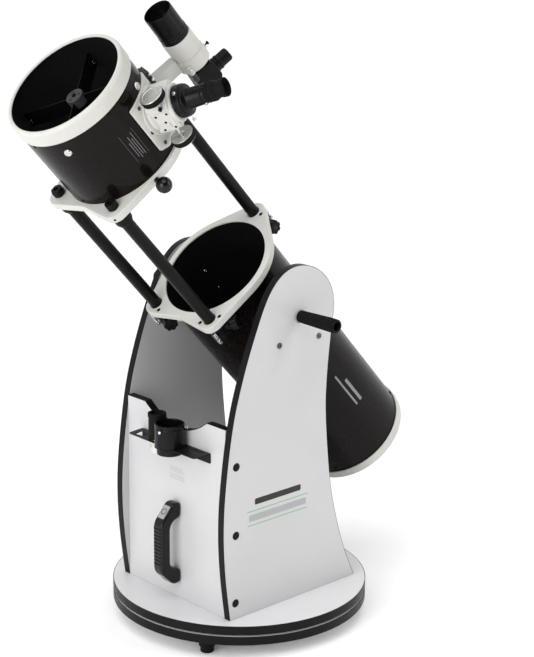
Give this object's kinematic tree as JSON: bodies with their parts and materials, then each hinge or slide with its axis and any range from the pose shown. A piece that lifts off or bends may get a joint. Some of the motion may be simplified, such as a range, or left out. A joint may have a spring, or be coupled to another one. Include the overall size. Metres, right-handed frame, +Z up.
{
  "type": "dobsonian telescope",
  "caption": "Collapsible truss Newtonian telescope on a rocker box: it turns, tilts, slides shut, focuses and carries a finder and an accessory rack.",
  "frame": {"origin": "on the ground under the middle of the whole telescope's bounding box", "axes": "+Z up; -Y towards the front board and the way the tube leans; +X to the focuser's side, along the altitude axis"},
  "size_m": [0.526, 0.9208, 1.26],
  "materials": {
    "anodised": "black anodised, satin",
    "casting": "dark cast aluminium",
    "edging": "black edge strip and folded black sheet, satin",
    "gloss": "gloss black enamel on rolled steel",
    "melamine": "light grey-white melamine, fine grain",
    "mirror": "polished, coated glass",
    "nylon": "white nylon",
    "plastic": "black moulded plastic, fine texture",
    "powder": "warm off-white powder coat, fine texture",
    "rod": "matte black tube",
    "rubber": "black ribbed rubber",
    "steel": "plated steel"
  },
  "bodies": {
    "ground": {"ground_board": "melamine", "foot_1": "rubber", "foot_2": "rubber", "foot_3": "rubber", "azimuth_bearing": "nylon", "azimuth_pivot_bolt": "steel"},
    "rocker": {"base_board": "melamine", "side_board_right": "melamine", "side_board_left": "melamine", "side_band_right": "edging", "side_band_left": "edging", "front_board": "melamine", "carry_handle": "plastic", "eyepiece_rack": "edging", "altitude_roller_right_front": "nylon", "altitude_roller_right_rear": "nylon", "altitude_roller_left_front": "nylon", "altitude_roller_left_rear": "nylon"},
    "extension_tube": {"extension_tube": "anodised"},
    "spare_eyepiece": {"spare_eyepiece": "plastic"},
    "tube": {"lower_tube": "gloss", "lower_ring": "powder", "rear_ring": "powder", "primary_cell": "casting", "primary_mirror": "mirror", "altitude_bearing_right": "plastic", "altitude_bearing_left": "plastic", "rod_clamp_top": "plastic", "rod_clamp_right": "plastic", "rod_clamp_left": "plastic"},
    "collimation_knob_1": {"collimation_knob_1": "steel"},
    "collimation_knob_2": {"collimation_knob_2": "steel"},
    "collimation_knob_3": {"collimation_knob_3": "steel"},
    "tension_handle_right": {"tension_handle_right": "rubber"},
    "tension_handle_left": {"tension_handle_left": "rubber"},
    "clamp_knob_top": {"clamp_knob_top": "plastic"},
    "clamp_knob_right": {"clamp_knob_right": "plastic"},
    "clamp_knob_left": {"clamp_knob_left": "plastic"},
    "upper": {"truss_rod_top": "rod", "truss_rod_right": "rod", "truss_rod_left": "rod", "upper_ring": "powder", "upper_tube": "gloss", "front_ring": "powder", "spider": "anodised", "focuser_body": "powder", "guide_knob": "plastic", "finder_bracket": "powder", "finder_tube": "powder", "finder_prism": "plastic"},
    "rod_screw_top": {"rod_screw_top": "plastic"},
    "rod_screw_right": {"rod_screw_right": "plastic"},
    "rod_screw_left": {"rod_screw_left": "plastic"},
    "diagonal": {"secondary_holder": "anodised", "secondary_mirror": "mirror"},
    "finder_cell": {"finder_dew_shield": "anodised"},
    "focus_knobs": {"focus_knobs": "steel"},
    "drawtube": {"focuser_drawtube": "anodised"},
    "adapter": {"eyepiece_adapter": "anodised"},
    "eyepiece": {"eyepiece": "rubber"}
  },
  "joints": [
    {"name": "azimuth_turn", "type": "hinge", "parent": "ground", "child": "rocker", "pos_m": [0, 0.05122, 0.06], "axis": [0, 0, 1], "continuous": true},
    {"name": "altitude_tilt", "type": "hinge", "parent": "rocker", "child": "tube", "pos_m": [0, 0.05522, 0.6546], "axis": [1, 0, 0], "range_deg": [-42.6, 47.4]},
    {"name": "truss_slide", "type": "slide", "parent": "tube", "child": "upper", "axis": [0, -0.6769, 0.7361], "range_m": [-0.283, 0]},
    {"name": "extension_lift", "type": "slide", "parent": "rocker", "child": "extension_tube", "axis": [0, 0, 1], "range_m": [0, 0.06]},
    {"name": "spare_eyepiece_lift", "type": "slide", "parent": "rocker", "child": "spare_eyepiece", "axis": [0, 0, 1], "range_m": [0, 0.06]},
    {"name": "collimation_turn_1", "type": "hinge", "parent": "tube", "child": "collimation_knob_1", "pos_m": [0, 0.4277, 0.3559], "axis": [0, 0.6769, -0.7361], "range_deg": [-180, 180]},
    {"name": "collimation_turn_2", "type": "hinge", "parent": "tube", "child": "collimation_knob_2", "pos_m": [0.06235, 0.3482, 0.2828], "axis": [0, 0.6769, -0.7361], "range_deg": [-180, 180]},
    {"name": "collimation_turn_3", "type": "hinge", "parent": "tube", "child": "collimation_knob_3", "pos_m": [-0.06235, 0.3482, 0.2828], "axis": [0, 0.6769, -0.7361], "range_deg": [-180, 180]},
    {"name": "tension_turn_right", "type": "hinge", "parent": "tube", "child": "tension_handle_right", "pos_m": [0.2, 0.05522, 0.6546], "axis": [1, 0, 0], "range_deg": [-180, 0]},
    {"name": "tension_turn_left", "type": "hinge", "parent": "tube", "child": "tension_handle_left", "pos_m": [-0.2, 0.05522, 0.6546], "axis": [-1, 0, 0], "range_deg": [-180, 0]},
    {"name": "clamp_turn_top", "type": "hinge", "parent": "tube", "child": "clamp_knob_top", "pos_m": [0.037, 0.10032, 0.80204], "axis": [1, 0, 0], "range_deg": [-360, 0]},
    {"name": "clamp_turn_right", "type": "hinge", "parent": "tube", "child": "clamp_knob_right", "pos_m": [0.10659, -0.06215, 0.65264], "axis": [0.8192, 0.4222, 0.3882], "range_deg": [-360, 0]},
    {"name": "clamp_turn_left", "type": "hinge", "parent": "tube", "child": "clamp_knob_left", "pos_m": [-0.04598, -0.0934, 0.62391], "axis": [0.8192, -0.4222, -0.3882], "range_deg": [-360, 0]},
    {"name": "rod_screw_turn_top", "type": "hinge", "parent": "upper", "child": "rod_screw_top", "pos_m": [0, -0.14853, 1.07858], "axis": [0, -0.6769, 0.7361], "range_deg": [-360, 0]},
    {"name": "rod_screw_turn_right", "type": "hinge", "parent": "upper", "child": "rod_screw_right", "pos_m": [0.07858, -0.33199, 0.90988], "axis": [0, -0.6769, 0.7361], "range_deg": [-360, 0]},
    {"name": "rod_screw_turn_left", "type": "hinge", "parent": "upper", "child": "rod_screw_left", "pos_m": [-0.07858, -0.33199, 0.90988], "axis": [0, -0.6769, 0.7361], "range_deg": [-360, 0]},
    {"name": "diagonal_turn", "type": "hinge", "parent": "upper", "child": "diagonal", "pos_m": [0, -0.32383, 1.06681], "axis": [0, -0.6769, 0.7361], "range_deg": [-6, 6]},
    {"name": "finder_focus_turn", "type": "hinge", "parent": "upper", "child": "finder_cell", "pos_m": [0.06459, -0.19783, 1.22344], "axis": [0, -0.6769, 0.7361], "range_deg": [-180, 180]},
    {"name": "focus_turn", "type": "hinge", "parent": "upper", "child": "focus_knobs", "pos_m": [0.147, -0.25911, 1.06791], "axis": [0, -0.6769, 0.7361], "range_deg": [0, 630]},
    {"name": "drawtube_slide", "type": "slide", "parent": "upper", "child": "drawtube", "axis": [0.866, 0.368, 0.3384], "range_m": [0, 0.0351]},
    {"name": "adapter_pull", "type": "slide", "parent": "drawtube", "child": "adapter", "axis": [0.866, 0.368, 0.3384], "range_m": [0, 0.04]},
    {"name": "eyepiece_pull", "type": "slide", "parent": "adapter", "child": "eyepiece", "axis": [0.866, 0.368, 0.3384], "range_m": [0, 0.035]}
  ],
  "couplings": [
    {"joint": "drawtube_slide", "follows": "focus_turn", "m_per_rad": 0.0031831}
  ]
}
